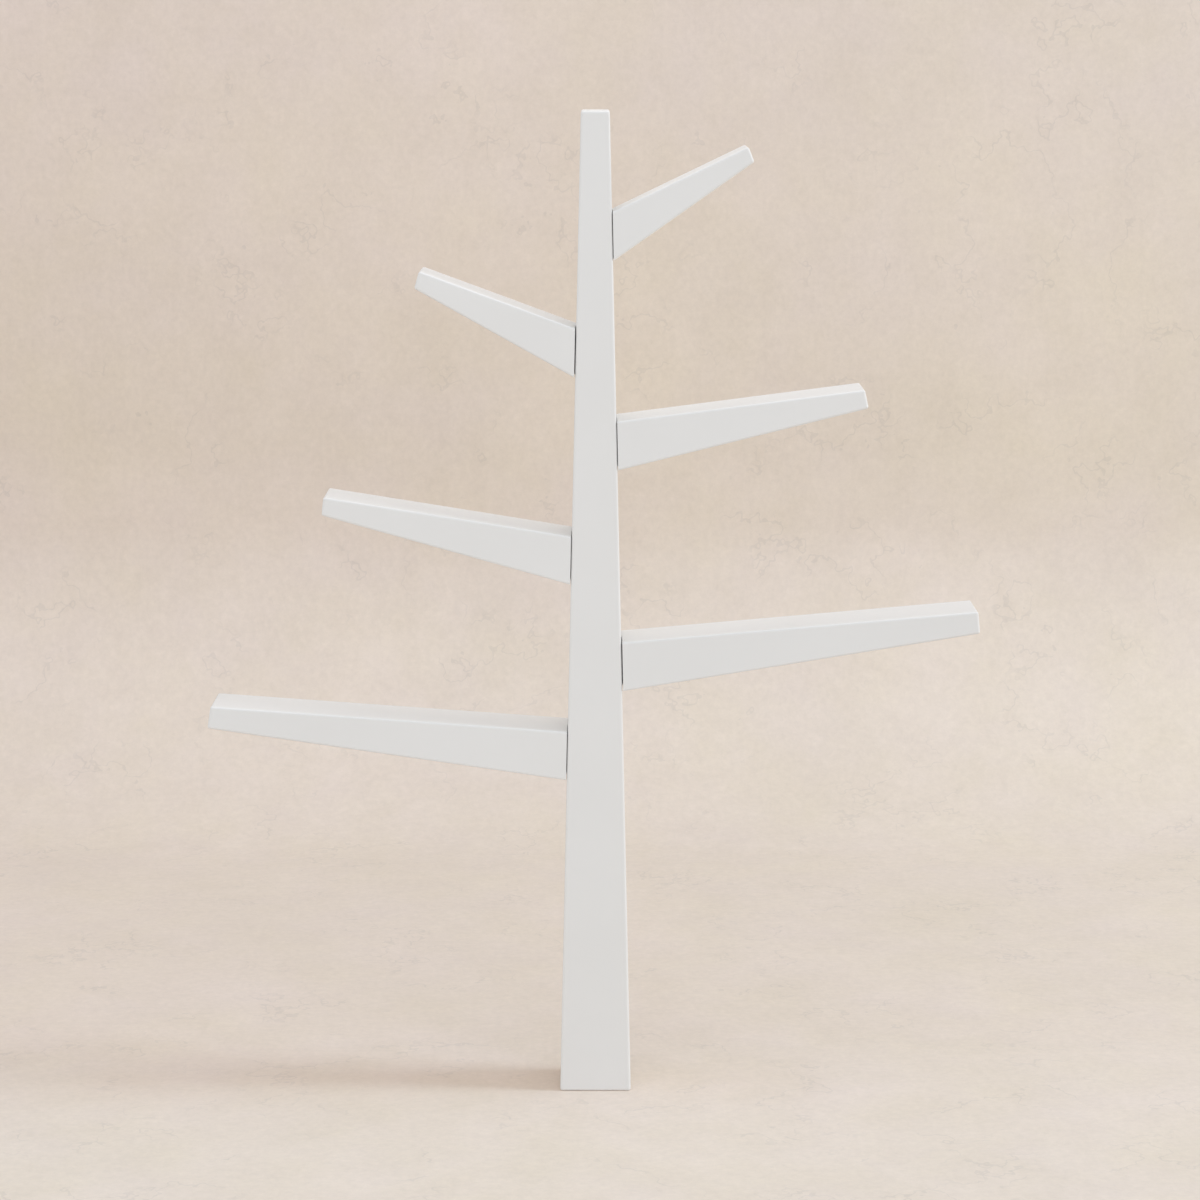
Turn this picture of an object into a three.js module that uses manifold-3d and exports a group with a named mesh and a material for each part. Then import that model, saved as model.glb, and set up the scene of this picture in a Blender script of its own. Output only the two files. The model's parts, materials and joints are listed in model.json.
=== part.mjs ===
// Tree shaped bookshelf: a tall tapered box trunk with six tapered box branches bolted to its sides.
// Millimetres. X runs to the right, Y to the back and Z up, from the centre of the foot on the floor.
import * as THREE from 'three';
import { mergeVertices } from 'three/addons/utils/BufferGeometryUtils.js';
import Module from 'manifold-3d';

const wasm = await Module();
wasm.setup();

// Trunk
const trunkHeight = 1800;
const trunkBaseWidth = 131.3;
const trunkTopWidth = 51.3;
const shelfDepth = 123;
const panelThickness = 15;
const sideThickness = 12;
const capThickness = 18;
const baseThickness = 36;
const ribThickness = 18;
const ribHeightShares = { lower: 0.25, middle: 0.612, upper: 0.823 };

// Rounded outer edges: along the faces, and at the corners of the face outlines
const edgeRadius = 4;
const cornerRadius = 4.5;

// Foot ballast
const ballastHeight = 150;
const ballastClearance = 2;
const ballastChamfer = 4;

// Branch boards
const skinThickness = 9;
const tipThickness = 12;
const blockLength = 45;

// Branch lengths along the top face
const rightUpperLength = 265;
const leftUpperLength = 295;
const rightMiddleLength = 446;
const leftMiddleLength = 451;
const rightLowerLength = 646.5;
const leftLowerLength = 650;

// Branch heights at the root
const rightUpperRootHeight = 86.2;
const leftUpperRootHeight = 87.8;
const rightMiddleRootHeight = 88.3;
const leftMiddleRootHeight = 88.6;
const rightLowerRootHeight = 90.5;
const leftLowerRootHeight = 91;

// Branch heights at the tip
const rightUpperTipHeight = 29;
const leftUpperTipHeight = 32.6;
const rightMiddleTipHeight = 34.4;
const leftMiddleTipHeight = 34.1;
const rightLowerTipHeight = 40.9;
const leftLowerTipHeight = 41.6;

// Joint between branch and trunk: a spacer plate fills the rear of the gap and leaves its front open.
// rootAllowance is what is sawn off square at the root, rounded corners and all.
const closeJointGap = 1.2;
const wideJointGap = 1.8;
const plateClearance = 0.1;
const plateSetback = 60;
const plateMargin = 0.1;
const rootAllowance = 20;

// Bolts through the trunk's side into the root block. boltInset is from the inside of the back panel.
const boltRadius = 4;
const boltReach = 16;
const boltDrop = 22;
const boltSpacing = 32;
const boltInset = 23;
const boltHeadRadius = 7;
const boltHeadHeight = 4.5;
const boltHeadRounding = 1.5;
const boltSocketRadius = 3;
const boltSocketDepth = 2.5;
const boltHoleClearance = 0.4;

// Screws that hold the back panel
const screwRadius = 2;
const screwLength = 30;
const screwPointLength = 4;
const screwHeadRadius = 4;
const screwHeadHeight = 2.2;
const screwRimHeight = 0.4;
const screwSlotLength = 4.4;
const screwSlotWidth = 0.9;
const screwSlotDepth = 1;
const screwClearance = 0.3;

// Gap left at glued and seated faces that lean, and how far cutters run past their work
const fitGap = 0.3;
const overrun = 5;

// Steps in each rounded edge and in a quarter of a corner, and sides of a bolt or screw and of a socket
const edgeSteps = 4;
const cornerSteps = 3;
const roundSides = 16;
const socketSides = 6;

// The branches, from the top down. side is 1 on the right and -1 on the left. seatShare is the height of
// the root's top corner as a share of the trunk's height. rise is how steeply the top face climbs, in degrees.
// tipLean turns the cut at the tip outwards at its foot, in degrees from square to the top face. jointGap is
// the distance from the trunk's side to the root.
const branchSpecs = [
  {
    name: 'right_upper',
    side: 1,
    seatShare: 0.902,
    rise: 25.55,
    length: rightUpperLength,
    rootHeight: rightUpperRootHeight,
    tipHeight: rightUpperTipHeight,
    tipLean: -3.5,
    jointGap: closeJointGap,
  },
  {
    name: 'left_upper',
    side: -1,
    seatShare: 0.7875,
    rise: 20.2,
    length: leftUpperLength,
    rootHeight: leftUpperRootHeight,
    tipHeight: leftUpperTipHeight,
    tipLean: -4.5,
    jointGap: wideJointGap,
  },
  {
    name: 'right_middle',
    side: 1,
    seatShare: 0.6949,
    rise: 7.36,
    length: rightMiddleLength,
    rootHeight: rightMiddleRootHeight,
    tipHeight: rightMiddleTipHeight,
    tipLean: 5,
    jointGap: closeJointGap,
  },
  {
    name: 'left_middle',
    side: -1,
    seatShare: 0.5795,
    rise: 9.12,
    length: leftMiddleLength,
    rootHeight: leftMiddleRootHeight,
    tipHeight: leftMiddleTipHeight,
    tipLean: -3,
    jointGap: closeJointGap,
  },
  {
    name: 'right_lower',
    side: 1,
    seatShare: 0.4715,
    rise: 5.03,
    length: rightLowerLength,
    rootHeight: rightLowerRootHeight,
    tipHeight: rightLowerTipHeight,
    tipLean: 0.5,
    jointGap: wideJointGap,
  },
  {
    name: 'left_lower',
    side: -1,
    seatShare: 0.3795,
    rise: 4.15,
    length: leftLowerLength,
    rootHeight: leftLowerRootHeight,
    tipHeight: leftLowerTipHeight,
    tipLean: 5,
    jointGap: closeJointGap,
  },
];

const frontFace = -shelfDepth / 2;
const backFace = shelfDepth / 2;
const panelInside = backFace - panelThickness;
const trunkLean = Math.atan((trunkBaseWidth - trunkTopWidth) / 2 / trunkHeight);

// Materials

function lacquer() {
  return new THREE.MeshStandardMaterial({ color: 0xdddcda, roughness: 0.45, metalness: 0 });
}

function rawBoard() {
  return new THREE.MeshStandardMaterial({ color: 0xa98a62, roughness: 0.85, metalness: 0 });
}

function whitePowderCoat() {
  return new THREE.MeshStandardMaterial({ color: 0xd8d7d4, roughness: 0.55, metalness: 0.1 });
}

function zincSteel() {
  return new THREE.MeshStandardMaterial({ color: 0xb4b6b8, roughness: 0.35, metalness: 0.9 });
}

function castIron() {
  return new THREE.MeshStandardMaterial({ color: 0x3a3b3d, roughness: 0.7, metalness: 0.6 });
}

// Solids

// A closed solid for cutting and joining, from any closed geometry.
function solidOf(geometry) {
  const bare = geometry.clone();
  bare.deleteAttribute('normal');
  bare.deleteAttribute('uv');
  const merged = mergeVertices(bare);
  return new wasm.Manifold(new wasm.Mesh({
    numProp: 3,
    vertProperties: new Float32Array(merged.attributes.position.array),
    triVerts: new Uint32Array(merged.index.array),
  }));
}

function geometryOf(solid) {
  const { vertProperties, triVerts } = solid.getMesh();
  const geometry = new THREE.BufferGeometry();
  geometry.setAttribute('position', new THREE.BufferAttribute(vertProperties, 3));
  geometry.setIndex(new THREE.BufferAttribute(triVerts, 1));
  geometry.computeVertexNormals();
  return geometry;
}

function piece(name, solid, material) {
  const mesh = new THREE.Mesh(geometryOf(solid), material);
  mesh.name = name;
  return mesh;
}

function box(low, high) {
  const size = new THREE.Vector3().subVectors(high, low);
  const centre = new THREE.Vector3().addVectors(low, high).multiplyScalar(0.5);
  return solidOf(new THREE.BoxGeometry(size.x, size.y, size.z).translate(centre.x, centre.y, centre.z));
}

// An outline in the X-Z plane made into a straight prism between two depths.
function prism(outline, yLow, yHigh) {
  const shape = new THREE.Shape(outline);
  const geometry = new THREE.ExtrudeGeometry(shape, { depth: yHigh - yLow, bevelEnabled: false });
  geometry.translate(0, 0, -yHigh);
  geometry.rotateX(Math.PI / 2);
  return solidOf(geometry);
}

// An outline whose corners are arcs.
function roundedShape(outline, radius) {
  const shape = new THREE.Shape();
  outline.forEach((corner, index) => {
    const toBefore = outline.at(index - 1).clone().sub(corner).normalize();
    const toAfter = outline[(index + 1) % outline.length].clone().sub(corner).normalize();
    const halfAngle = Math.acos(toBefore.dot(toAfter)) / 2;
    const inwards = toBefore.clone().add(toAfter).normalize();
    const centre = inwards.multiplyScalar(radius / Math.sin(halfAngle)).add(corner);
    const tangentLength = radius / Math.tan(halfAngle);
    const start = toBefore.multiplyScalar(tangentLength).add(corner).sub(centre);
    const end = toAfter.multiplyScalar(tangentLength).add(corner).sub(centre);
    shape.absarc(centre.x, centre.y, radius, start.angle(), end.angle(), start.cross(end) < 0);
  });
  return shape;
}

// The outer form of a box as deep as the shelf, with every outer edge rounded.
function roundedBlock(outline) {
  const geometry = new THREE.ExtrudeGeometry(roundedShape(outline, cornerRadius), {
    depth: shelfDepth - 2 * edgeRadius,
    curveSegments: cornerSteps,
    bevelThickness: edgeRadius,
    bevelSize: edgeRadius,
    bevelOffset: -edgeRadius,
    bevelSegments: edgeSteps,
  });
  geometry.translate(0, 0, frontFace + edgeRadius);
  geometry.rotateX(Math.PI / 2);
  return solidOf(geometry);
}

// An outline with each side moved inwards by its own distance. Side i runs from corner i to the next one.
function inset(outline, distances) {
  const turn = Math.sign(THREE.ShapeUtils.area(outline));
  const sides = outline.map((corner, index) => {
    const along = outline[(index + 1) % outline.length].clone().sub(corner).normalize();
    const inwards = new THREE.Vector2(-along.y, along.x).multiplyScalar(turn * distances[index]);
    return { start: corner.clone().add(inwards), along };
  });
  return sides.map((side, index) => {
    const before = sides.at(index - 1);
    const offset = side.start.clone().sub(before.start);
    const distance = offset.cross(side.along) / before.along.cross(side.along);
    return before.start.clone().addScaledVector(before.along, distance);
  });
}

// A round piece from a profile of radius and height, turned so that its height runs along the direction.
function turned(profile, direction, sides) {
  const geometry = new THREE.LatheGeometry(profile, sides);
  const up = new THREE.Vector3(0, 1, 0);
  geometry.applyQuaternion(new THREE.Quaternion().setFromUnitVectors(up, direction));
  return geometry;
}

// The profile of a plain round bar between two heights.
function rod(radius, start, end) {
  const profile = [[0, start], [radius, start], [radius, end], [0, end]];
  return profile.map(([across, along]) => new THREE.Vector2(across, along));
}

// Trunk

function trunkHalfWidth(height) {
  return (trunkBaseWidth + (trunkTopWidth - trunkBaseWidth) * height / trunkHeight) / 2;
}

function trunkOutline() {
  return [
    new THREE.Vector2(-trunkBaseWidth / 2, 0),
    new THREE.Vector2(trunkBaseWidth / 2, 0),
    new THREE.Vector2(trunkTopWidth / 2, trunkHeight),
    new THREE.Vector2(-trunkTopWidth / 2, trunkHeight),
  ];
}

// The space between the side boards, from one height to another, kept clear of the boards by a gap.
function betweenSides(zLow, zHigh, gap) {
  const inside = sideThickness / Math.cos(trunkLean) + gap;
  const lowHalf = trunkHalfWidth(zLow) - inside;
  const highHalf = trunkHalfWidth(zHigh) - inside;
  return [
    new THREE.Vector2(-lowHalf, zLow),
    new THREE.Vector2(lowHalf, zLow),
    new THREE.Vector2(highHalf, zHigh),
    new THREE.Vector2(-highHalf, zHigh),
  ];
}

function crossPiece(zLow, zHigh) {
  return prism(betweenSides(zLow, zHigh, fitGap), -panelInside, panelInside);
}

function ribCentre(share) {
  return share * trunkHeight;
}

const screwHeights = [
  baseThickness / 2,
  ...Object.values(ribHeightShares).map(ribCentre),
  trunkHeight - capThickness / 2,
];

// Everything between two depths, as wide and tall as the trunk with room to spare.
function trunkSlice(yLow, yHigh) {
  const halfWidth = trunkBaseWidth / 2 + overrun;
  return box(
    new THREE.Vector3(-halfWidth, yLow, -overrun),
    new THREE.Vector3(halfWidth, yHigh, trunkHeight + overrun),
  );
}

function screwProfile(clearance) {
  const tip = screwLength + clearance;
  return [
    [0, -clearance],
    [screwHeadRadius + clearance, -clearance],
    [screwHeadRadius + clearance, screwRimHeight],
    [screwRadius + clearance, screwHeadHeight],
    [screwRadius + clearance, tip - screwPointLength],
    [0, tip],
  ].map(([across, along]) => new THREE.Vector2(across, along));
}

const forwards = new THREE.Vector3(0, -1, 0);

function screwForm(height, clearance) {
  return solidOf(turned(screwProfile(clearance), forwards, roundSides).translate(0, backFace, height));
}

// A countersunk screw, its head flush with the back panel, with a cross slot.
function screw(height) {
  const half = screwSlotLength / 2;
  const halfWidth = screwSlotWidth / 2;
  const floor = backFace - screwSlotDepth;
  const upright = box(
    new THREE.Vector3(-halfWidth, floor, height - half),
    new THREE.Vector3(halfWidth, backFace + overrun, height + half),
  );
  const level = box(
    new THREE.Vector3(-half, floor, height - halfWidth),
    new THREE.Vector3(half, backFace + overrun, height + halfWidth),
  );
  return screwForm(height, 0).subtract(upright).subtract(level);
}

function withScrewHoles(solid, heights) {
  const drill = (result, height) => result.subtract(screwForm(height, screwClearance));
  return heights.reduce(drill, solid);
}

function trunkSide(side, envelope, boltHoles) {
  const cavity = betweenSides(-overrun, trunkHeight + overrun, 0);
  const outer = trunkBaseWidth / 2 + overrun;
  const [lowLeft, lowRight, highRight, highLeft] = cavity;
  const outline = side > 0
    ? [lowRight, new THREE.Vector2(outer, lowRight.y), new THREE.Vector2(outer, highRight.y), highRight]
    : [lowLeft, highLeft, new THREE.Vector2(-outer, highLeft.y), new THREE.Vector2(-outer, lowLeft.y)];
  const board = envelope.intersect(prism(outline, -panelInside, panelInside));
  return boltHoles.reduce((result, hole) => result.subtract(hole), board);
}

function ballast() {
  const top = baseThickness + ballastHeight;
  const halfWidth = trunkHalfWidth(top) - sideThickness / Math.cos(trunkLean) - ballastClearance;
  const half = panelInside - ballastClearance;
  const outline = [
    new THREE.Vector2(-halfWidth, baseThickness),
    new THREE.Vector2(halfWidth, baseThickness),
    new THREE.Vector2(halfWidth, top - ballastChamfer),
    new THREE.Vector2(halfWidth - ballastChamfer, top),
    new THREE.Vector2(ballastChamfer - halfWidth, top),
    new THREE.Vector2(-halfWidth, top - ballastChamfer),
  ];
  return prism(outline, -half, half);
}

function trunk(boltHoles) {
  const group = new THREE.Group();
  const envelope = roundedBlock(trunkOutline());
  const front = envelope.intersect(trunkSlice(frontFace - overrun, -panelInside));
  const back = envelope.intersect(trunkSlice(panelInside, backFace + overrun));
  const baseBlock = crossPiece(0, baseThickness);
  const topCap = crossPiece(trunkHeight - capThickness, trunkHeight);
  group.add(
    piece('trunk_front_panel', front, lacquer()),
    piece('trunk_back_panel', withScrewHoles(back, screwHeights), lacquer()),
    piece('trunk_left_side', trunkSide(-1, envelope, boltHoles.left), lacquer()),
    piece('trunk_right_side', trunkSide(1, envelope, boltHoles.right), lacquer()),
    piece('trunk_base_block', withScrewHoles(baseBlock, screwHeights.slice(0, 1)), rawBoard()),
    piece('trunk_top_cap', withScrewHoles(topCap, screwHeights.slice(-1)), lacquer()),
    piece('foot_ballast', ballast(), castIron()),
  );
  for (const [name, share] of Object.entries(ribHeightShares)) {
    const centre = ribCentre(share);
    const rib = crossPiece(centre - ribThickness / 2, centre + ribThickness / 2);
    group.add(piece(`trunk_rib_${name}`, withScrewHoles(rib, [centre]), rawBoard()));
  }
  screwHeights.forEach((height, index) => {
    group.add(piece(`back_screw_${index + 1}`, screw(height), zincSteel()));
  });
  return group;
}

// Branches
// Each is drawn in its own group, whose origin is on the trunk's side at the top of the root, with X square
// to that side.

function branchGroup(spec) {
  const seatHeight = spec.seatShare * trunkHeight;
  const group = new THREE.Group();
  group.position.set(spec.side * trunkHalfWidth(seatHeight), 0, seatHeight);
  group.rotation.y = -spec.side * trunkLean;
  group.updateMatrix();
  return group;
}

// Corners in order: root foot, root top, tip top, tip foot, so side 0 is the root, 1 the top and 2 the tip.
function branchOutline(spec) {
  const rise = THREE.MathUtils.degToRad(spec.rise) - trunkLean;
  const cut = rise + THREE.MathUtils.degToRad(spec.tipLean);
  const rootTop = new THREE.Vector2(spec.jointGap, 0);
  const rootFoot = new THREE.Vector2(spec.jointGap, -spec.rootHeight);
  const tipTop = new THREE.Vector2(Math.cos(rise), Math.sin(rise)).multiplyScalar(spec.length).add(rootTop);
  const downTip = new THREE.Vector2(Math.sin(cut), -Math.cos(cut));
  const tipFoot = downTip.multiplyScalar(spec.tipHeight).add(tipTop);
  const corners = [rootFoot, rootTop, tipTop, tipFoot];
  return corners.map((corner) => new THREE.Vector2(spec.side * corner.x, corner.y));
}

// A box in the branch's group that runs outwards from the trunk between two distances.
function outwardBox(spec, outLow, outHigh, yLow, yHigh, zLow, zHigh) {
  const ends = [spec.side * outLow, spec.side * outHigh];
  return box(
    new THREE.Vector3(Math.min(...ends), yLow, zLow),
    new THREE.Vector3(Math.max(...ends), yHigh, zHigh),
  );
}

// Everything from the root outwards between two depths.
function branchSlice(spec, yLow, yHigh) {
  const reach = spec.length + spec.rootHeight + overrun;
  return outwardBox(spec, spec.jointGap, reach, yLow, yHigh, -reach, reach);
}

const boltHeights = { high: -boltDrop, low: -boltDrop - boltSpacing };

// A round piece on the line of a bolt, with heights in its profile measured outwards from the trunk's side.
function alongBolt(spec, profile, height, sides) {
  const outwards = new THREE.Vector3(spec.side, 0, 0);
  return turned(profile, outwards, sides).translate(0, panelInside - boltInset, height);
}

function boltHole(spec, height) {
  const start = -sideThickness - overrun;
  const end = spec.jointGap + boltReach + fitGap;
  return alongBolt(spec, rod(boltRadius + boltHoleClearance, start, end), height, roundSides);
}

// A domed head bolt with a hexagonal socket, its head against the inside of the trunk's side board.
function bolt(spec, height) {
  const seat = -sideThickness - fitGap;
  const crown = seat - boltHeadHeight;
  const profile = [
    [0, crown],
    [boltHeadRadius - boltHeadRounding, crown],
    [boltHeadRadius, crown + boltHeadRounding],
    [boltHeadRadius, seat],
    [boltRadius, seat],
    [boltRadius, spec.jointGap + boltReach],
    [0, spec.jointGap + boltReach],
  ].map(([across, along]) => new THREE.Vector2(across, along));
  const socket = rod(boltSocketRadius, crown - overrun, crown + boltSocketDepth);
  const body = solidOf(alongBolt(spec, profile, height, roundSides));
  return body.subtract(solidOf(alongBolt(spec, socket, height, socketSides)));
}

function jointPlate(spec) {
  return outwardBox(
    spec,
    plateClearance,
    spec.jointGap - plateClearance,
    frontFace + plateSetback,
    backFace - edgeRadius,
    plateMargin - spec.rootHeight,
    -plateMargin,
  );
}

const cheekInside = backFace - skinThickness;

function rootBlock(spec, outline) {
  const wall = skinThickness + fitGap;
  const inside = prism(inset(outline, [0, wall, wall, wall]), -cheekInside, cheekInside);
  const reach = spec.rootHeight + spec.length;
  const nearRoot = outwardBox(spec, 0, spec.jointGap + blockLength, frontFace, backFace, -reach, reach);
  return inside.intersect(nearRoot);
}

function branch(spec) {
  const group = branchGroup(spec);
  const outline = branchOutline(spec);
  const envelope = roundedBlock(inset(outline, [-rootAllowance, 0, 0, 0]));
  const cavity = inset(outline, [-overrun, skinThickness, tipThickness, skinThickness]);
  const hollow = prism(cavity, frontFace, backFace);
  const frontCheek = envelope.intersect(branchSlice(spec, frontFace - overrun, -cheekInside));
  const backCheek = envelope.intersect(branchSlice(spec, cheekInside, backFace + overrun));
  const wrap = envelope.intersect(branchSlice(spec, -cheekInside, cheekInside)).subtract(hollow);
  const holes = Object.values(boltHeights).map((height) => solidOf(boltHole(spec, height)));
  const drilled = (solid) => holes.reduce((result, hole) => result.subtract(hole), solid);
  group.add(
    piece(`${spec.name}_front_cheek`, frontCheek, lacquer()),
    piece(`${spec.name}_back_cheek`, backCheek, lacquer()),
    piece(`${spec.name}_wrap`, wrap, lacquer()),
    piece(`${spec.name}_root_block`, drilled(rootBlock(spec, outline)), rawBoard()),
    piece(`${spec.name}_joint_plate`, drilled(jointPlate(spec)), whitePowderCoat()),
    piece(`${spec.name}_bolt_high`, bolt(spec, boltHeights.high), zincSteel()),
    piece(`${spec.name}_bolt_low`, bolt(spec, boltHeights.low), zincSteel()),
  );
  return group;
}

// The holes that a side of the trunk needs for the bolts of its branches.
function trunkBoltHoles(side) {
  return branchSpecs.filter((spec) => spec.side === side).flatMap((spec) => {
    const { matrix } = branchGroup(spec);
    const placed = (height) => solidOf(boltHole(spec, height).applyMatrix4(matrix));
    return Object.values(boltHeights).map(placed);
  });
}

const shelf = new THREE.Group();
shelf.add(trunk({ left: trunkBoltHoles(-1), right: trunkBoltHoles(1) }));
for (const spec of branchSpecs) {
  shelf.add(branch(spec));
}

export default shelf;
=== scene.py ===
"""Tree shaped bookshelf: its finishes, a plain studio and the photograph's camera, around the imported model.

Metres, with X to the right, Y to the back and Z up from the centre of the foot on the floor.
"""

import json
import math

import bmesh
import bpy
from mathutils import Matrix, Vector


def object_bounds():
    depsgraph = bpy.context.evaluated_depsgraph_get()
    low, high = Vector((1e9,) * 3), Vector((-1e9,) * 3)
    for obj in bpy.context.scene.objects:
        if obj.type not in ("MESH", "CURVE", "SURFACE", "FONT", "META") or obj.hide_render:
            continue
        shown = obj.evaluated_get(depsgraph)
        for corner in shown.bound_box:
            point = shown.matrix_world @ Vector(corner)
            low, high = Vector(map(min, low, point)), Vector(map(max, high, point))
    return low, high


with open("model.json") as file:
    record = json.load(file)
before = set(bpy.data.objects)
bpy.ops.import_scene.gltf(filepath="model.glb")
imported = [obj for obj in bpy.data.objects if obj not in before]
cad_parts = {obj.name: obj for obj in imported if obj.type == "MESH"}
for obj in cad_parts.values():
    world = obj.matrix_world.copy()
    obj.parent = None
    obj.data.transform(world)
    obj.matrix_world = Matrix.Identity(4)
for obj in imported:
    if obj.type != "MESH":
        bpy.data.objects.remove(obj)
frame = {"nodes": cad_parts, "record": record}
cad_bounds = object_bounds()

# Camera, from the perspective of the photograph
SENSOR_WIDTH = 36.0
LENS = 93.78
CAMERA_X = 0.00835
CAMERA_DISTANCE = 5.555
CAMERA_HEIGHT = 1.9312
CAMERA_PITCH = math.radians(10.245)
CAMERA_REACH = 100.0

# Studio: a floor that curves up into a wall
STUDIO_HALF_WIDTH = 9.0
FLOOR_FRONT = -9.0
WALL_DEPTH = 2.3
WALL_HEIGHT = 2.8
BEND_RADIUS = 0.7
BEND_STEPS = 24

# Light from all round, weakest straight from the back and strongest straight from the front
WORLD_FRONT = 1.233
WORLD_BACK = 0.438
WORLD_COLOUR = (0.960, 0.985, 1.027)

# Lamps far to the right. Each has its height, its turn to the front and its spread, in degrees, and its
# strength. The key light is tall and soft, as lamps one above the other.
KEY_LAMPS = (
    (16.0, 4.0, 12.0, 0.218),
    (25.0, 4.0, 12.0, 0.218),
    (34.0, 4.0, 12.0, 0.218),
)
KEY_COLOUR = (0.955, 1.0, 1.06)

# Two more on the paper only, for the depth of the shelf's shadow
PAPER_LAMPS = (
    (25.0, 4.0, 20.0, 0.785),
    (70.0, 0.0, 12.0, 0.147),
)
PAPER_LAMP_COLOUR = (0.573, 1.0, 1.36)

# A low one on the shelf only, for its bright edges on the right
EDGE_LAMPS = ((5.0, -6.0, 16.0, 0.36),)
EDGE_COLOUR = (1.08, 1.0, 0.92)

# A slightly warm softbox above and behind, on the shelf only
SOFTBOX_PLACE = Vector((0.0, 1.6, 4.4))
SOFTBOX_SIZE = 3.0
SOFTBOX_POWER = 38.0
SOFTBOX_COLOUR = (1.085, 1.0, 0.95)
SOFTBOX_AIM = Vector((0.0, 0.0, 0.9))

# The paper's own tone with painted light and shade on it, each with its place along the sheet, as depth and
# height
# together: in front of the shelf (lighter, painted light), behind it (darker, painted shade), low and high in
# the bend, and low and high on the wall
PAPER_TONES_AND_PAINTED_LIGHT = (
    (-0.35, (0.769, 0.652, 0.550)),
    (0.3, (0.745, 0.621, 0.522)),
    (2.05, (0.708, 0.598, 0.503)),
    (2.9, (0.746, 0.653, 0.570)),
    (3.2, (0.723, 0.631, 0.533)),
    (4.2, (0.737, 0.642, 0.564)),
)

# Painted shade far to the left and painted light far to the right, as factors on these tones. They set in
# between two depths, in front of the shelf and behind it, and factors of one change nothing.
PAPER_LEFT_PAINTED_SHADE = (0.955, 0.937, 0.935)
PAPER_RIGHT_PAINTED_LIGHT = (1.045, 1.063, 1.065)
SIDE_REACH = 2.3
SIDE_START = -0.35
SIDE_END = 0.15
UNCHANGED = (1.0, 1.0, 1.0)

# Factors in darker and lighter patches, and in warmer and cooler ones, and how far clouds and fine grain go
# either way from one
PAPER_DARK = (0.953, 0.949, 0.944)
PAPER_LIGHT = (1.047, 1.051, 1.056)
PAPER_WARM = (0.998, 0.998, 0.966)
PAPER_COOL = (1.004, 1.0, 1.022)
PAPER_CLOUDS = 0.02
PAPER_GRAIN = 0.035

# Hairline veins: their factor, the noise value that they follow and how near to it they reach, and the values
# of a second noise at which they begin to show and show in full
PAPER_VEIN = (0.93, 0.935, 0.943)
VEIN_VALUE = 0.5
VEIN_WIDTH = 0.007
VEINS_BEGIN = 0.5
VEINS_FULL = 0.58

# The paper's dull surface, and the plain tone seen where the paper ends
PAPER_ROUGHNESS = 0.9
PAPER_GLOSS = 0.1
SURROUND = (0.750, 0.695, 0.637)

# Tones of the shelf's finishes: each lies between two, and the bare board has clouds of a third
LACQUER_TONES = ((0.748, 0.748, 0.735), (0.764, 0.765, 0.753))
BOARD_TONES = ((0.30, 0.20, 0.115), (0.44, 0.32, 0.20))
BOARD_CLOUDS = (0.40, 0.285, 0.175)
POWDER_TONES = ((0.70, 0.69, 0.67), (0.76, 0.75, 0.73))
ZINC_TONES = ((0.47, 0.48, 0.50), (0.62, 0.62, 0.60))
IRON_TONES = ((0.022, 0.021, 0.021), (0.062, 0.058, 0.055))

# Their lowest and highest roughness
LACQUER_ROUGHNESS = (0.40, 0.48)
BOARD_ROUGHNESS = (0.78, 0.95)
POWDER_ROUGHNESS = (0.42, 0.58)
ZINC_ROUGHNESS = (0.26, 0.42)
IRON_ROUGHNESS = (0.62, 0.85)

# The depth of their bumps, and how metallic the metals are
LACQUER_WAVES = 0.00008
LACQUER_PEEL = 0.000012
BOARD_RELIEF = 0.00006
POWDER_RELIEF = 0.00003
ZINC_RELIEF = 0.000008
IRON_RELIEF = 0.00025
ZINC_METALLIC = 1.0
IRON_METALLIC = 0.7

# The range that holds most of a noise's values
NOISE_LOW = 0.3
NOISE_HIGH = 0.7

# Shading of the faceted meshes
WELD_DISTANCE = 0.00001
SHARP_ANGLE = math.radians(50.0)


# Node helpers, where the owner of the nodes is a material or the world

def new_material(name):
    material = bpy.data.materials.new(name)
    material.use_nodes = True
    return material, material.node_tree.nodes["Principled BSDF"]


def add_node(owner, kind, **values):
    """A new shader node, with its unlinked inputs set by name."""
    node = owner.node_tree.nodes.new(kind)
    for name, value in values.items():
        node.inputs[name.replace("_", " ")].default_value = value
    return node


def link(owner, output, target):
    owner.node_tree.links.new(output, target)


def calculate(owner, operation, *values):
    """The result of an operation on numbers and the values of other nodes."""
    node = add_node(owner, "ShaderNodeMath")
    node.operation = operation
    for socket, value in zip(node.inputs, values):
        if isinstance(value, float):
            socket.default_value = value
        else:
            link(owner, value, socket)
    return node.outputs["Value"]


def ramp(owner, value, start, end, low=0.0, high=1.0):
    """A value brought evenly from one range to another, and held at its ends."""
    node = add_node(owner, "ShaderNodeMapRange")
    for name, number in (("From Min", start), ("From Max", end), ("To Min", low), ("To Max", high)):
        node.inputs[name].default_value = number
    link(owner, value, node.inputs["Value"])
    return node.outputs["Result"]


def coordinates(owner, vector):
    """The three parts of a vector, by their names."""
    node = add_node(owner, "ShaderNodeSeparateXYZ")
    link(owner, vector, node.inputs["Vector"])
    return node.outputs


def mix_shaders(owner, factor, first, second):
    node = add_node(owner, "ShaderNodeMixShader")
    link(owner, factor, node.inputs["Fac"])
    link(owner, first, node.inputs[1])
    link(owner, second, node.inputs[2])
    return node.outputs["Shader"]


def place(material):
    """The point in the object's own frame, in metres, so that a pattern runs on across joined boards."""
    return add_node(material, "ShaderNodeTexCoord").outputs["Object"]


def noise(material, per_metre, detail, roughness=0.5):
    node = add_node(material, "ShaderNodeTexNoise", Scale=per_metre, Detail=detail, Roughness=roughness)
    link(material, place(material), node.inputs["Vector"])
    return node.outputs["Fac"]


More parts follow.
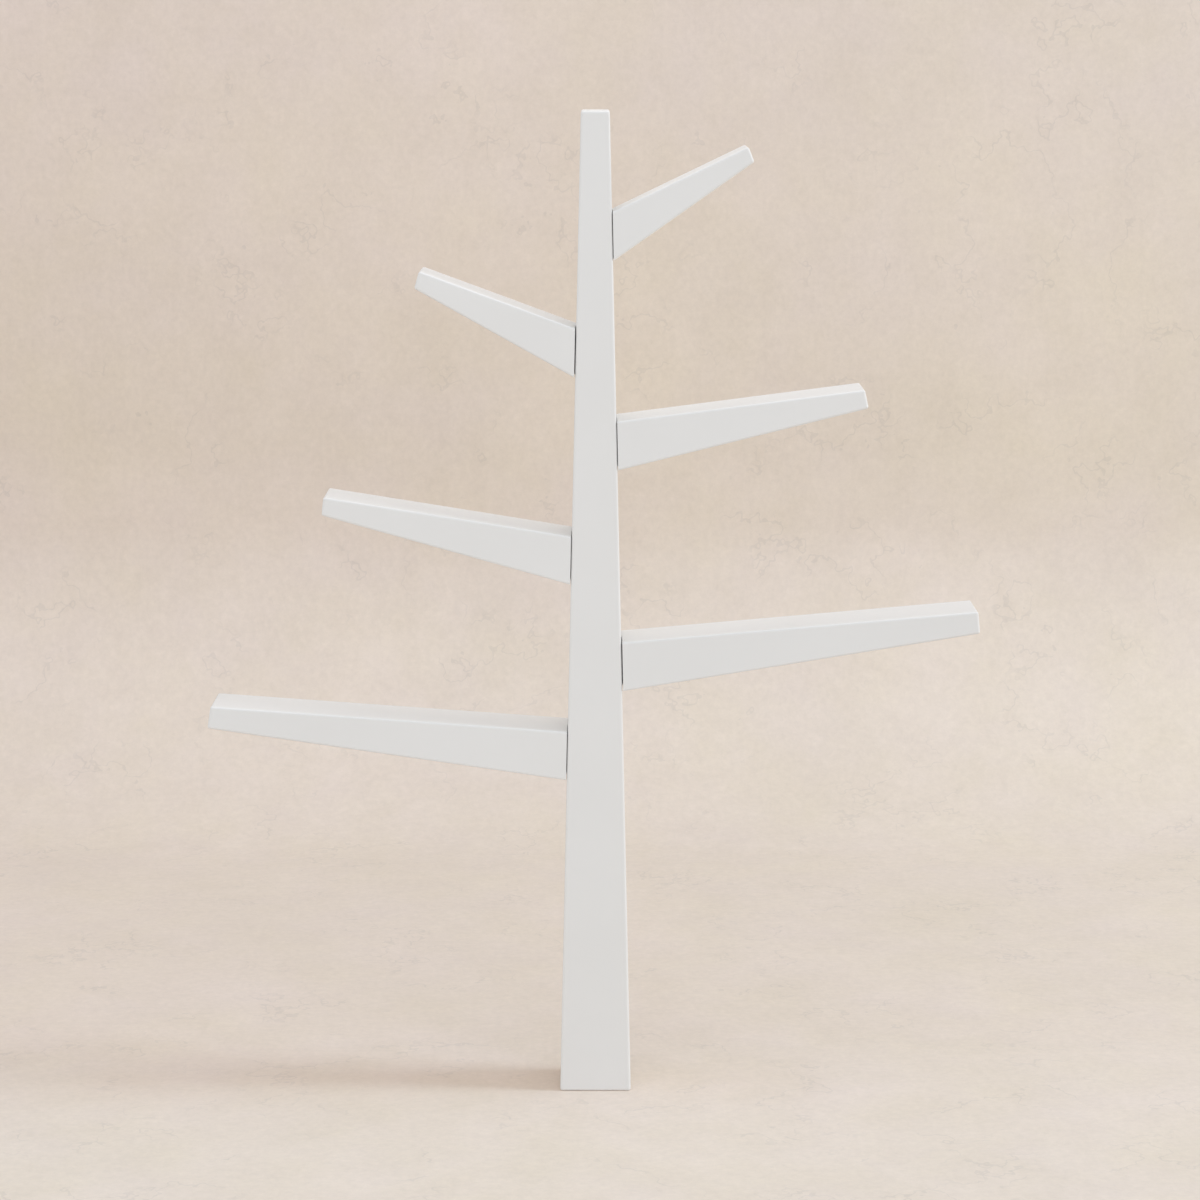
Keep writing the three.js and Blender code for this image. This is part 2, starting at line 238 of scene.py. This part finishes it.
def spread(material, value, low=0.0, high=1.0):
    """A noise value spread over a whole range."""
    return ramp(material, value, NOISE_LOW, NOISE_HIGH, low, high)


def blend_colours(material, factor, first, second):
    node = add_node(material, "ShaderNodeMix")
    node.data_type = "RGBA"
    link(material, factor, node.inputs[0])
    for socket, colour in ((node.inputs[6], first), (node.inputs[7], second)):
        if isinstance(colour, tuple):
            socket.default_value = (*colour, 1.0)
        else:
            link(material, colour, socket)
    return node.outputs[2]


def product(material, first, second):
    """Two colours, or a colour and a number, multiplied."""
    node = add_node(material, "ShaderNodeVectorMath")
    node.operation = "MULTIPLY"
    link(material, first, node.inputs[0])
    link(material, second, node.inputs[1])
    return node.outputs["Vector"]


def bump(material, height, depth, before=None):
    """A bump of a real depth in metres, added to another one if that is given."""
    node = add_node(material, "ShaderNodeBump", Strength=1.0, Distance=depth)
    link(material, height, node.inputs["Height"])
    if before:
        link(material, before, node.inputs["Normal"])
    return node.outputs["Normal"]


def coat(material, shader, colour, roughness, relief):
    """The material, with its colour, roughness and relief linked to its shader."""
    link(material, colour, shader.inputs["Base Color"])
    link(material, roughness, shader.inputs["Roughness"])
    link(material, relief, shader.inputs["Normal"])
    return material


# Finishes

def lacquer():
    """Satin off-white lacquer, sprayed over sanded board: a very fine orange peel on faint, long waves."""
    material, shader = new_material("satin_lacquer")
    clouds = noise(material, per_metre=5.0, detail=3.0)
    colour = blend_colours(material, spread(material, clouds), *LACQUER_TONES)
    sheen = noise(material, per_metre=60.0, detail=4.0)
    roughness = spread(material, sheen, *LACQUER_ROUGHNESS)
    waves = bump(material, noise(material, per_metre=22.0, detail=1.0), LACQUER_WAVES)
    peel = bump(material, noise(material, per_metre=420.0, detail=2.0), LACQUER_PEEL, waves)
    return coat(material, shader, colour, roughness, peel)


def raw_board():
    """Bare fibreboard: fine fibres, darker and paler, under soft clouds."""
    material, shader = new_material("bare_fibreboard")
    fibres = spread(material, noise(material, per_metre=900.0, detail=5.0, roughness=0.7))
    clouds = spread(material, noise(material, per_metre=25.0, detail=3.0))
    fine = blend_colours(material, fibres, *BOARD_TONES)
    colour = blend_colours(material, clouds, fine, BOARD_CLOUDS)
    roughness = spread(material, fibres, *BOARD_ROUGHNESS)
    return coat(material, shader, colour, roughness, bump(material, fibres, BOARD_RELIEF))


def white_steel():
    """White powder coat: a pebbled skin with a low sheen."""
    material, shader = new_material("white_powder_coat")
    pebbles = noise(material, per_metre=1400.0, detail=1.0)
    colour = blend_colours(material, pebbles, *POWDER_TONES)
    sheen = noise(material, per_metre=90.0, detail=3.0)
    roughness = spread(material, sheen, *POWDER_ROUGHNESS)
    return coat(material, shader, colour, roughness, bump(material, pebbles, POWDER_RELIEF))


def zinc_steel():
    """Bright zinc plate, with a cool bloom and very fine marks."""
    material, shader = new_material("zinc_plate")
    shader.inputs["Metallic"].default_value = ZINC_METALLIC
    bloom = noise(material, per_metre=240.0, detail=4.0)
    colour = blend_colours(material, spread(material, bloom), *ZINC_TONES)
    sheen = noise(material, per_metre=1500.0, detail=3.0)
    roughness = spread(material, sheen, *ZINC_ROUGHNESS)
    marks = bump(material, noise(material, per_metre=2600.0, detail=2.0), ZINC_RELIEF)
    return coat(material, shader, colour, roughness, marks)


def cast_iron():
    """Cast iron as it leaves the sand: dark, dull and grainy."""
    material, shader = new_material("rough_cast_iron")
    shader.inputs["Metallic"].default_value = IRON_METALLIC
    grain = noise(material, per_metre=700.0, detail=5.0, roughness=0.65)
    colour = blend_colours(material, spread(material, grain), *IRON_TONES)
    roughness = spread(material, grain, *IRON_ROUGHNESS)
    return coat(material, shader, colour, roughness, bump(material, grain, IRON_RELIEF))


def dress_nodes():
    """Every piece gets the finish of its slot in the record."""
    finishes = {
        "lacquer": lacquer(),
        "raw_board": raw_board(),
        "white_steel": white_steel(),
        "zinc_steel": zinc_steel(),
        "cast_iron": cast_iron(),
    }
    for part in frame["record"]["subparts"]:
        mesh = frame["nodes"][part["node"]].data
        mesh.materials.clear()
        mesh.materials.append(finishes[part["material_slot"]])


# Smooth shading over the rounded edges, with the flat faces left flat

def edge_tree():
    """Joins the facets' corners and marks the edges that stay sharp."""
    tree = bpy.data.node_groups.new("rounded_edges", "GeometryNodeTree")
    for side in ("INPUT", "OUTPUT"):
        tree.interface.new_socket("Geometry", in_out=side, socket_type="NodeSocketGeometry")
    start = tree.nodes.new("NodeGroupInput")
    weld = tree.nodes.new("GeometryNodeMergeByDistance")
    weld.inputs["Distance"].default_value = WELD_DISTANCE
    smooth = tree.nodes.new("GeometryNodeSetShadeSmooth")
    angle = tree.nodes.new("GeometryNodeInputMeshEdgeAngle")
    sharper = tree.nodes.new("FunctionNodeCompare")
    sharper.inputs["B"].default_value = SHARP_ANGLE
    store = tree.nodes.new("GeometryNodeStoreNamedAttribute")
    store.data_type = "BOOLEAN"
    store.domain = "EDGE"
    store.inputs["Name"].default_value = "sharp_edge"
    end = tree.nodes.new("NodeGroupOutput")
    for before, after in ((start, weld), (weld, smooth), (smooth, store), (store, end)):
        tree.links.new(before.outputs["Geometry"], after.inputs["Geometry"])
    tree.links.new(angle.outputs["Unsigned Angle"], sharper.inputs["A"])
    tree.links.new(sharper.outputs["Result"], store.inputs["Value"])
    return tree


def shade_nodes():
    tree = edge_tree()
    for node in frame["nodes"].values():
        normals = node.data.attributes.get("custom_normal")
        if normals:
            node.data.attributes.remove(normals)
        node.modifiers.new("rounded_edges", "NODES").node_group = tree
        weighted = node.modifiers.new("weighted_normals", "WEIGHTED_NORMAL")
        weighted.keep_sharp = True


# Studio

def tones_with_painted_light(material, along):
    """The paper's own tone, with painted light and shade, by its place along the sheet."""
    first, last = PAPER_TONES_AND_PAINTED_LIGHT[0][0], PAPER_TONES_AND_PAINTED_LIGHT[-1][0]
    node = add_node(material, "ShaderNodeValToRGB")
    stops = node.color_ramp.elements
    stops[0].color = (*PAPER_TONES_AND_PAINTED_LIGHT[0][1], 1.0)
    stops[1].color = (*PAPER_TONES_AND_PAINTED_LIGHT[-1][1], 1.0)
    for at, colour in PAPER_TONES_AND_PAINTED_LIGHT[1:-1]:
        stops.new((at - first) / (last - first)).color = (*colour, 1.0)
    link(material, ramp(material, along, first, last), node.inputs["Fac"])
    return node.outputs["Color"]


def painted_side_light(material, across, back):
    """Painted shade on the left and painted light on the right, as factors that change from left to right and
    set in with the depth.
    """
    side = ramp(material, across, -SIDE_REACH, SIDE_REACH)
    change = blend_colours(material, side, PAPER_LEFT_PAINTED_SHADE, PAPER_RIGHT_PAINTED_LIGHT)
    return blend_colours(material, ramp(material, back, SIDE_START, SIDE_END), UNCHANGED, change)


def veins(material):
    """Thin winding lines, where a noise passes its middle, only here and there."""
    winding = noise(material, per_metre=5.0, detail=4.0, roughness=0.6)
    line = calculate(material, "COMPARE", winding, VEIN_VALUE, VEIN_WIDTH)
    areas = noise(material, per_metre=4.0, detail=3.0, roughness=0.6)
    shown = calculate(material, "MULTIPLY", line, ramp(material, areas, VEINS_BEGIN, VEINS_FULL))
    return blend_colours(material, shown, UNCHANGED, PAPER_VEIN)


def paper_colour(material):
    point = coordinates(material, place(material))
    # The paper's tone, with painted light and shade along the sheet by depth and height
    colour = tones_with_painted_light(material, calculate(material, "ADD", point["Y"], point["Z"]))
    clouds = noise(material, per_metre=1.4, detail=3.0)
    patches = noise(material, per_metre=6.0, detail=8.0, roughness=0.9)
    grain = noise(material, per_metre=60.0, detail=4.0, roughness=0.7)
    warmth = noise(material, per_metre=3.2, detail=5.0, roughness=0.6)
    factors = (
        # painted shade to the left and painted light to the right
        painted_side_light(material, point["X"], point["Y"]),
        spread(material, clouds, 1 - PAPER_CLOUDS, 1 + PAPER_CLOUDS),
        blend_colours(material, spread(material, patches), PAPER_DARK, PAPER_LIGHT),
        spread(material, grain, 1 - PAPER_GRAIN, 1 + PAPER_GRAIN),
        blend_colours(material, spread(material, warmth), PAPER_WARM, PAPER_COOL),
        veins(material),
    )
    for factor in factors:
        colour = product(material, colour, factor)
    return colour


def paper_material():
    """Mottled paper, clear from behind, so that the back and the underside can be looked at."""
    material, shader = new_material("studio_paper")
    link(material, paper_colour(material), shader.inputs["Base Color"])
    shader.inputs["Roughness"].default_value = PAPER_ROUGHNESS
    shader.inputs["Specular IOR Level"].default_value = PAPER_GLOSS
    clear = add_node(material, "ShaderNodeBsdfTransparent")
    from_behind = add_node(material, "ShaderNodeNewGeometry").outputs["Backfacing"]
    surface = mix_shaders(material, from_behind, shader.outputs["BSDF"], clear.outputs["BSDF"])
    link(material, surface, material.node_tree.nodes["Material Output"].inputs["Surface"])
    return material


def backdrop():
    """One sheet of paper: the floor, a bend and the wall."""
    profile = [(FLOOR_FRONT, 0.0)]
    for step in range(BEND_STEPS + 1):
        turn = math.pi / 2 * step / BEND_STEPS
        depth = WALL_DEPTH - BEND_RADIUS * (1 - math.sin(turn))
        profile.append((depth, BEND_RADIUS * (1 - math.cos(turn))))
    profile.append((WALL_DEPTH, WALL_HEIGHT))
    sheet = bmesh.new()
    left = [sheet.verts.new((-STUDIO_HALF_WIDTH, y, z)) for y, z in profile]
    right = [sheet.verts.new((STUDIO_HALF_WIDTH, y, z)) for y, z in profile]
    for index in range(len(profile) - 1):
        face = sheet.faces.new((left[index], right[index], right[index + 1], left[index + 1]))
        face.smooth = True
    mesh = bpy.data.meshes.new("backdrop")
    sheet.to_mesh(mesh)
    sheet.free()
    mesh.materials.append(paper_material())
    paper = bpy.data.objects.new("backdrop", mesh)
    bpy.context.scene.collection.objects.link(paper)
    return paper


def collection_of(name, members):
    collection = bpy.data.collections.new(name)
    for member in members:
        collection.objects.link(member)
    return collection


def hang_lamp(lamp, location, direction, lit=None):
    """A lamp that shines on everything, or on the objects of a collection only."""
    holder = bpy.data.objects.new(lamp.name, lamp)
    holder.location = location
    holder.rotation_euler = direction.to_track_quat("-Z", "Y").to_euler()
    holder.light_linking.receiver_collection = lit
    bpy.context.scene.collection.objects.link(holder)


def far_lamps(name, settings, colour, lit=None):
    """Lamps to the right, so far away that only their direction counts."""
    for step, (height, turn, width, strength) in enumerate(settings, 1):
        lamp = bpy.data.lights.new(f"{name}_{step}", "SUN")
        lamp.angle = math.radians(width)
        lamp.energy = strength
        lamp.color = colour
        up, forward = math.radians(height), math.radians(turn)
        level = math.cos(up)
        towards = Vector((level * math.cos(forward), -level * math.sin(forward), math.sin(up)))
        hang_lamp(lamp, towards, -towards, lit)


def softbox(lit):
    lamp = bpy.data.lights.new("softbox", "AREA")
    lamp.shape = "SQUARE"
    lamp.size = SOFTBOX_SIZE
    lamp.energy = SOFTBOX_POWER
    lamp.color = SOFTBOX_COLOUR
    hang_lamp(lamp, SOFTBOX_PLACE, SOFTBOX_AIM - SOFTBOX_PLACE, lit)


def surround():
    """Soft light from all round, and one plain tone that the eye and reflections meet beyond the paper."""
    world = bpy.data.worlds.new("studio")
    world.use_nodes = True
    light = world.node_tree.nodes["Background"]
    light.inputs["Color"].default_value = (*WORLD_COLOUR, 1.0)
    direction = coordinates(world, add_node(world, "ShaderNodeTexCoord").outputs["Generated"])
    strength = ramp(world, direction["Y"], -1.0, 1.0, WORLD_FRONT, WORLD_BACK)
    link(world, strength, light.inputs["Strength"])
    tone = add_node(world, "ShaderNodeBackground", Color=(*SURROUND, 1.0))
    rays = add_node(world, "ShaderNodeLightPath").outputs
    looks = calculate(world, "MAXIMUM", rays["Is Camera Ray"], rays["Is Glossy Ray"])
    looks = calculate(world, "MAXIMUM", looks, rays["Is Transmission Ray"])
    surface = mix_shaders(world, looks, light.outputs["Background"], tone.outputs["Background"])
    link(world, surface, world.node_tree.nodes["World Output"].inputs["Surface"])
    bpy.context.scene.world = world


def lights(paper):
    surround()
    far_lamps("key_lamp", KEY_LAMPS, KEY_COLOUR)
    far_lamps("paper_lamp", PAPER_LAMPS, PAPER_LAMP_COLOUR, collection_of("paper", [paper]))
    shelf = collection_of("shelf", frame["nodes"].values())
    far_lamps("edge_lamp", EDGE_LAMPS, EDGE_COLOUR, shelf)
    softbox(shelf)


def camera():
    front = cad_bounds[0][1]
    data = bpy.data.cameras.new("camera")
    data.sensor_width = SENSOR_WIDTH
    data.lens = LENS
    data.clip_end = CAMERA_REACH
    holder = bpy.data.objects.new("camera", data)
    holder.location = (CAMERA_X, front - CAMERA_DISTANCE, CAMERA_HEIGHT)
    holder.rotation_euler = (math.pi / 2 - CAMERA_PITCH, 0.0, 0.0)
    bpy.context.scene.collection.objects.link(holder)
    bpy.context.scene.camera = holder


dress_nodes()
shade_nodes()
lights(backdrop())
camera()
bpy.context.scene.view_settings.view_transform = "Standard"
